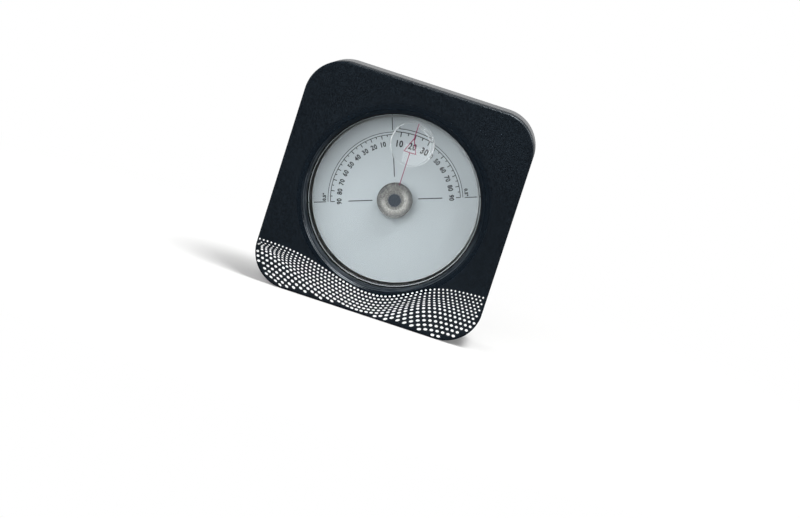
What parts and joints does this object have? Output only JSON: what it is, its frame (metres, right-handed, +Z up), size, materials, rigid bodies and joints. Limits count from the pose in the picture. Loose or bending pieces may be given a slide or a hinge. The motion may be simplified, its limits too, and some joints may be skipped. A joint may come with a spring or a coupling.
{
  "type": "inclinometer",
  "caption": "Free-standing inclinometer: square black housing with a round sealed capsule, a weighted card that turns on a pivot, and a clear lid with a magnifier.",
  "frame": {"origin": "middle of the underside of the housing", "axes": "+X to the right and +Z up as seen from the front, +Y from the front face into the housing"},
  "size_m": [0.075, 0.024, 0.075],
  "materials": {
    "black_plastic": "fine spark-eroded grain, bluish black",
    "black_steel": "black oxide",
    "foam": "closed-cell foam",
    "rubber": "matte",
    "clear_plastic": "clear moulded acrylic",
    "pale_plastic": "smooth pale moulding",
    "bush_plastic": "smoky translucent plastic",
    "dark_steel": "hardened, blued",
    "axle_steel": "ground",
    "brass": "turned",
    "card_aluminium": "pale satin coat with printed scale"
  },
  "bodies": {
    "housing": {"front_cover": "black_plastic", "housing_shell": "black_plastic", "housing_screws": "black_steel", "capsule_gasket": "foam", "seat_gasket": "foam", "capsule_lid": "clear_plastic", "lid_seal": "rubber", "capsule_cup": "pale_plastic", "front_bearing_bush": "bush_plastic", "front_pivot_cup": "dark_steel", "rear_bearing_screw": "brass", "rear_pivot_cup": "dark_steel", "bearing_lock_nut": "brass", "filler_screw": "brass", "filler_seal": "rubber", "expansion_diaphragm": "rubber", "diaphragm_ring": "pale_plastic"},
    "dial": {"dial_card": "card_aluminium", "dial_hub": "brass", "hub_washer": "brass", "dial_axle": "axle_steel", "counterweight": "brass"}
  },
  "joints": [
    {"name": "dial_swing", "type": "hinge", "parent": "housing", "child": "dial", "pos_m": [0, -0.004, 0.0375], "axis": [0, -1, 0], "continuous": true}
  ]
}
